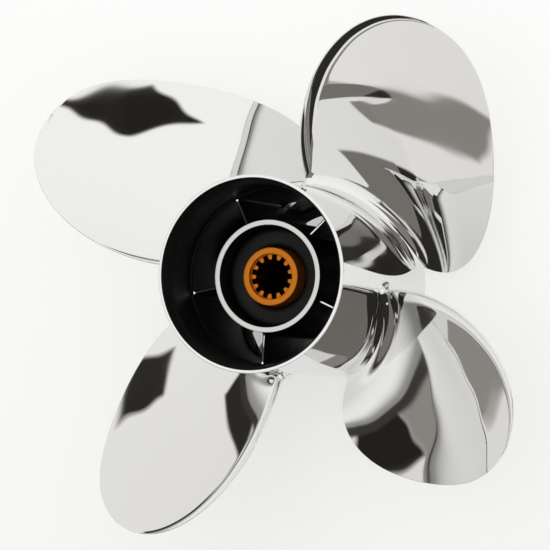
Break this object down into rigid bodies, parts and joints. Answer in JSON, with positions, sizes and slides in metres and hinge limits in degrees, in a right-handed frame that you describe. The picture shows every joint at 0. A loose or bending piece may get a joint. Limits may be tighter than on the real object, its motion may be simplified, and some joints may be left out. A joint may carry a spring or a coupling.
{
  "type": "boat propeller",
  "caption": "Polished outboard propeller with broad raked blades, a flared exhaust barrel, ribbed inner hub and a rubber-cushioned splined sleeve that drives it.",
  "frame": {"origin": "on the shaft axis, at the plane of the barrel's forward face", "axes": "+Z along the shaft axis, pointing aft; the root of blade 1 is centred near +X, and blades 2 to 4 follow every 90 degrees, anticlockwise seen from aft"},
  "size_m": [0.338, 0.338, 0.139],
  "materials": {
    "polished_stainless": "mirror-polished stainless steel",
    "machined_stainless": "turned bare stainless steel",
    "hub_paint": "satin black paint on cast steel, bare on the turned aft rim",
    "rubber": "matt black moulded rubber",
    "sleeve_brass": "broached orange bronze, lightly satin"
  },
  "bodies": {
    "propeller": {"barrel": "polished_stainless", "flared_ring": "polished_stainless", "blade_1": "polished_stainless", "blade_2": "polished_stainless", "blade_3": "polished_stainless", "blade_4": "polished_stainless", "forward_lip": "hub_paint", "inner_hub": "hub_paint", "rib_1": "hub_paint", "rib_2": "hub_paint", "rib_3": "hub_paint", "rib_4": "hub_paint", "rib_5": "hub_paint", "thrust_seat": "machined_stainless", "rubber_bush": "rubber"},
    "sleeve": {"splined_sleeve": "sleeve_brass"}
  },
  "joints": [
    {"name": "cushion_twist", "type": "hinge", "parent": "propeller", "child": "sleeve", "pos_m": [0, 0, 0.0623], "axis": [0, 0, 1], "range_deg": [-8, 8], "stiffness_Nm_per_rad": 1500}
  ]
}
